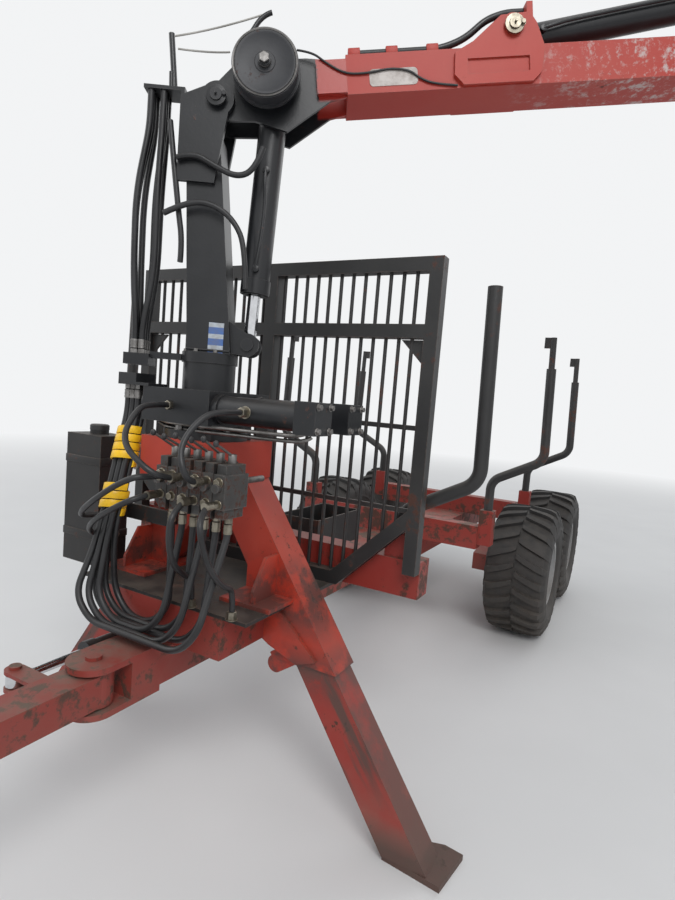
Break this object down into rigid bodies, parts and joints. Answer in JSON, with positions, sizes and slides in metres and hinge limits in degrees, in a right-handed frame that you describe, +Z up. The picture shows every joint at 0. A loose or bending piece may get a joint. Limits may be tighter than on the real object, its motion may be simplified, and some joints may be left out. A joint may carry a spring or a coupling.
{
  "type": "forestry crane trailer",
  "caption": "Timber trailer with walking-beam bogies, staked bunks, a barred headboard and a slewing knuckle-boom crane on a stand with sliding stabiliser legs.",
  "frame": {"origin": "centre of the tow eye's bore, at mid thickness of the eye", "axes": "+X to the trailer's left, +Y to its rear, +Z up; the drawbar's eye is its front end"},
  "size_m": [4.7778, 5.5969, 3.1599],
  "materials": {
    "black_paint": "dark slate paint, worn",
    "grille_paint": "dusty black paint",
    "hose": "black rubber hose",
    "red_paint": "faded red paint, worn and dusty",
    "rim": "silver grey paint",
    "rod": "chromed rod",
    "steel": "worn bare steel",
    "tyre": "dusty black tyre",
    "yellow_wrap": "yellow spiral wrap"
  },
  "bodies": {
    "trailer": {"chassis": "red_paint", "neck": "red_paint", "saddle": "red_paint", "deck": "black_paint", "bogie_axle": "red_paint", "bunk_front": "red_paint", "bunk_mid": "red_paint", "bunk_rear": "red_paint", "headboard": "grille_paint", "crane_stand": "red_paint", "stakes_left": "grille_paint", "stakes_right": "grille_paint", "stake_tips": "grille_paint", "slew_base": "black_paint", "slew_cylinders": "black_paint", "oil_tank": "black_paint", "valve_bank": "steel", "tool_tray": "black_paint", "stand_hoses": "hose", "hose_wraps": "yellow_wrap"},
    "drawbar": {"drawbar": "red_paint"},
    "steer_barrel": {"steer_barrel": "black_paint"},
    "steer_rod": {"steer_rod": "rod"},
    "leg_left": {"leg_left": "red_paint"},
    "leg_right": {"leg_right": "red_paint"},
    "bogie_left": {"bogie_left": "red_paint"},
    "bogie_right": {"bogie_right": "red_paint"},
    "column": {"column": "black_paint", "hose_post": "black_paint", "column_hoses": "hose"},
    "boom": {"boom_base": "black_paint", "boom": "red_paint", "ram_bracket": "red_paint", "winch": "black_paint", "boom_hose": "hose"},
    "lift_barrel": {"lift_barrel": "black_paint"},
    "lift_rod": {"lift_rod": "rod"},
    "jib_barrel": {"jib_barrel": "black_paint"},
    "jib_rod": {"jib_rod": "rod"},
    "jib": {"jib": "red_paint"},
    "extension": {"extension": "red_paint"},
    "link": {"link": "black_paint"},
    "rotator": {"rotator": "black_paint"},
    "grapple": {"grapple_frame": "red_paint"},
    "jaw_outer": {"jaw_outer": "red_paint"},
    "jaw_inner": {"jaw_inner": "red_paint"},
    "grapple_barrel": {"grapple_barrel": "black_paint"},
    "grapple_rod": {"grapple_rod": "rod"},
    "wheel_front_left": {"tyre_front_left": "tyre", "rim_front_left": "rim"},
    "wheel_front_right": {"tyre_front_right": "tyre", "rim_front_right": "rim"},
    "wheel_rear_left": {"tyre_rear_left": "tyre", "rim_rear_left": "rim"},
    "wheel_rear_right": {"tyre_rear_right": "tyre", "rim_rear_right": "rim"}
  },
  "joints": [
    {"name": "slew", "type": "hinge", "parent": "trailer", "child": "column", "pos_m": [0, 1.6, 1.015], "axis": [0, 0, 1], "range_deg": [-125, 245]},
    {"name": "boom_lift", "type": "hinge", "parent": "column", "child": "boom", "pos_m": [-0.00866, 1.595, 1.88], "axis": [0.5, -0.866, 0], "range_deg": [-10, 64]},
    {"name": "lift_barrel_swing", "type": "hinge", "parent": "boom", "child": "lift_barrel", "pos_m": [0.14549, 1.684, 1.87], "axis": [0.5, -0.866, 0], "range_deg": [-58.95, 9.38]},
    {"name": "lift_rod_slide", "type": "slide", "parent": "lift_barrel", "child": "lift_rod", "axis": [-0.0366, -0.0211, -0.9991], "range_m": [-0.0283, 0.1759]},
    {"name": "jib_fold", "type": "hinge", "parent": "boom", "child": "jib", "pos_m": [2.01703, 2.76453, 2.19508], "axis": [-0.5, 0.866, 0], "range_deg": [-18, 75]},
    {"name": "jib_barrel_swing", "type": "hinge", "parent": "boom", "child": "jib_barrel", "pos_m": [0.81435, 2.07016, 2.18712], "axis": [-0.5, 0.866, 0], "range_deg": [-1.69, 6.42]},
    {"name": "jib_rod_slide", "type": "slide", "parent": "jib_barrel", "child": "jib_rod", "axis": [0.8315, 0.48, 0.2797], "range_m": [-0.1044, 0.4317]},
    {"name": "extension_slide", "type": "slide", "parent": "jib", "child": "extension", "axis": [-0.8138, -0.4698, 0.342], "range_m": [-1, 0]},
    {"name": "link_plumb", "type": "hinge", "parent": "extension", "child": "link", "pos_m": [3.44931, 3.59146, 1.59312], "axis": [-0.5, 0.866, 0], "range_deg": [-75.2, 18.2]},
    {"name": "link_side_swing", "type": "hinge", "parent": "link", "child": "rotator", "pos_m": [3.44931, 3.59146, 1.48312], "axis": [0.866, 0.5, 0], "range_deg": [-30, 30]},
    {"name": "rotator_turn", "type": "hinge", "parent": "rotator", "child": "grapple", "pos_m": [3.44931, 3.59146, 1.36312], "axis": [0, 0, 1], "continuous": true},
    {"name": "jaw_outer_open", "type": "hinge", "parent": "grapple", "child": "jaw_outer", "pos_m": [3.54458, 3.64646, 1.19212], "axis": [0.5, -0.866, 0], "range_deg": [0, 40]},
    {"name": "jaw_inner_open", "type": "hinge", "parent": "grapple", "child": "jaw_inner", "pos_m": [3.35405, 3.53646, 1.19212], "axis": [-0.5, 0.866, 0], "range_deg": [0, 40]},
    {"name": "grapple_barrel_swing", "type": "hinge", "parent": "jaw_outer", "child": "grapple_barrel", "pos_m": [3.6052, 3.68146, 1.25412], "axis": [-0.5, 0.866, 0], "range_deg": [0, 40]},
    {"name": "grapple_rod_slide", "type": "slide", "parent": "grapple_barrel", "child": "grapple_rod", "axis": [-0.866, -0.5, 0], "range_m": [-0.1135, 0.001]},
    {"name": "drawbar_steer", "type": "hinge", "parent": "trailer", "child": "drawbar", "pos_m": [0, 1.16, 0], "axis": [0, 0, 1], "range_deg": [-30, 30]},
    {"name": "steer_barrel_swing", "type": "hinge", "parent": "trailer", "child": "steer_barrel", "pos_m": [-0.19, 1.61, 0], "axis": [0, 0, 1], "range_deg": [-6.43, 6.43]},
    {"name": "steer_rod_slide", "type": "slide", "parent": "steer_barrel", "child": "steer_rod", "axis": [-0.0175, -0.9998, 0], "range_m": [-0.1032, 0.1032]},
    {"name": "leg_left_slide", "type": "slide", "parent": "trailer", "child": "leg_left", "axis": [-0.5736, 0, 0.8192], "range_m": [0, 0.35]},
    {"name": "bogie_left_rock", "type": "hinge", "parent": "trailer", "child": "bogie_left", "pos_m": [0.46, 4.6, -0.1], "axis": [1, 0, 0], "range_deg": [-10, 10]},
    {"name": "wheel_front_left_spin", "type": "hinge", "parent": "bogie_left", "child": "wheel_front_left", "pos_m": [0.75, 4.1, -0.133], "axis": [1, 0, 0], "continuous": true},
    {"name": "wheel_rear_left_spin", "type": "hinge", "parent": "bogie_left", "child": "wheel_rear_left", "pos_m": [0.75, 5.1, -0.133], "axis": [1, 0, 0], "continuous": true},
    {"name": "leg_right_slide", "type": "slide", "parent": "trailer", "child": "leg_right", "axis": [0.5736, 0, 0.8192], "range_m": [0, 0.35]},
    {"name": "bogie_right_rock", "type": "hinge", "parent": "trailer", "child": "bogie_right", "pos_m": [-0.46, 4.6, -0.1], "axis": [1, 0, 0], "range_deg": [-10, 10]},
    {"name": "wheel_front_right_spin", "type": "hinge", "parent": "bogie_right", "child": "wheel_front_right", "pos_m": [-0.75, 4.1, -0.133], "axis": [1, 0, 0], "continuous": true},
    {"name": "wheel_rear_right_spin", "type": "hinge", "parent": "bogie_right", "child": "wheel_rear_right", "pos_m": [-0.75, 5.1, -0.133], "axis": [1, 0, 0], "continuous": true}
  ],
  "couplings": [
    {"joint": "lift_barrel_swing", "follows": "boom_lift", "ratio": -0.9179},
    {"joint": "lift_rod_slide", "follows": "boom_lift", "m_per_rad": 0.1566},
    {"joint": "jib_barrel_swing", "follows": "jib_fold", "ratio": 0.083},
    {"joint": "jib_rod_slide", "follows": "jib_fold", "m_per_rad": 0.329},
    {"joint": "link_plumb", "follows": "jib_fold", "ratio": -1},
    {"joint": "jaw_inner_open", "follows": "jaw_outer_open", "ratio": 1},
    {"joint": "grapple_barrel_swing", "follows": "jaw_outer_open", "ratio": 1},
    {"joint": "grapple_rod_slide", "follows": "jaw_outer_open", "m_per_rad": -0.1611},
    {"joint": "steer_barrel_swing", "follows": "drawbar_steer", "ratio": 0.2078},
    {"joint": "steer_rod_slide", "follows": "drawbar_steer", "m_per_rad": 0.1951}
  ]
}
